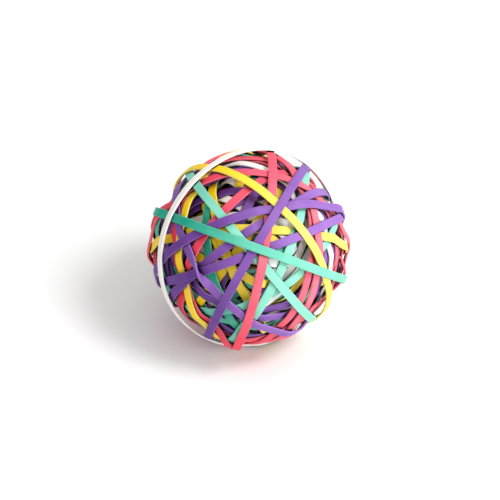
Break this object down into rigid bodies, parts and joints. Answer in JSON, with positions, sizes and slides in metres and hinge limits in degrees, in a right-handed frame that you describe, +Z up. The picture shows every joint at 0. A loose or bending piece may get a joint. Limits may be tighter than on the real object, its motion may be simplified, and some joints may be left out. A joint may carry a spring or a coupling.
{
  "type": "rubber band ball",
  "caption": "Ball wound tightly from flat coloured rubber bands that cross one another at every angle, resting on a small flat spot.",
  "frame": {"origin": "on the bench, under the middle of the ball's bounding box", "axes": "+Z up; -Y is the front, and the show side faces forwards and upwards"},
  "size_m": [0.063, 0.062, 0.0606],
  "materials": {
    "white_rubber": "satin",
    "teal_rubber": "satin",
    "purple_rubber": "satin",
    "red_rubber": "satin",
    "yellow_rubber": "satin",
    "packed_core": "matte"
  },
  "bodies": {
    "root": {"packed_core": "packed_core", "purple_band_01": "purple_rubber", "purple_band_02": "purple_rubber", "purple_band_03": "purple_rubber", "purple_band_04": "purple_rubber", "purple_band_05": "purple_rubber", "purple_band_06": "purple_rubber", "purple_band_07": "purple_rubber", "purple_band_08": "purple_rubber", "purple_band_09": "purple_rubber", "purple_band_10": "purple_rubber", "purple_band_11": "purple_rubber", "purple_band_12": "purple_rubber", "purple_band_13": "purple_rubber", "purple_band_14": "purple_rubber", "purple_band_15": "purple_rubber", "red_band_01": "red_rubber", "red_band_02": "red_rubber", "red_band_03": "red_rubber", "red_band_04": "red_rubber", "red_band_05": "red_rubber", "red_band_06": "red_rubber", "red_band_07": "red_rubber", "red_band_08": "red_rubber", "red_band_09": "red_rubber", "red_band_10": "red_rubber", "teal_band_01": "teal_rubber", "teal_band_02": "teal_rubber", "teal_band_03": "teal_rubber", "teal_band_04": "teal_rubber", "teal_band_05": "teal_rubber", "teal_band_06": "teal_rubber", "teal_band_07": "teal_rubber", "teal_band_08": "teal_rubber", "teal_band_09": "teal_rubber", "teal_band_10": "teal_rubber", "white_band_01": "white_rubber", "white_band_02": "white_rubber", "white_band_03": "white_rubber", "white_band_04": "white_rubber", "white_band_05": "white_rubber", "white_band_06": "white_rubber", "white_band_07": "white_rubber", "yellow_band_01": "yellow_rubber", "yellow_band_02": "yellow_rubber", "yellow_band_03": "yellow_rubber", "yellow_band_04": "yellow_rubber", "yellow_band_05": "yellow_rubber", "yellow_band_06": "yellow_rubber"}
  },
  "joints": []
}
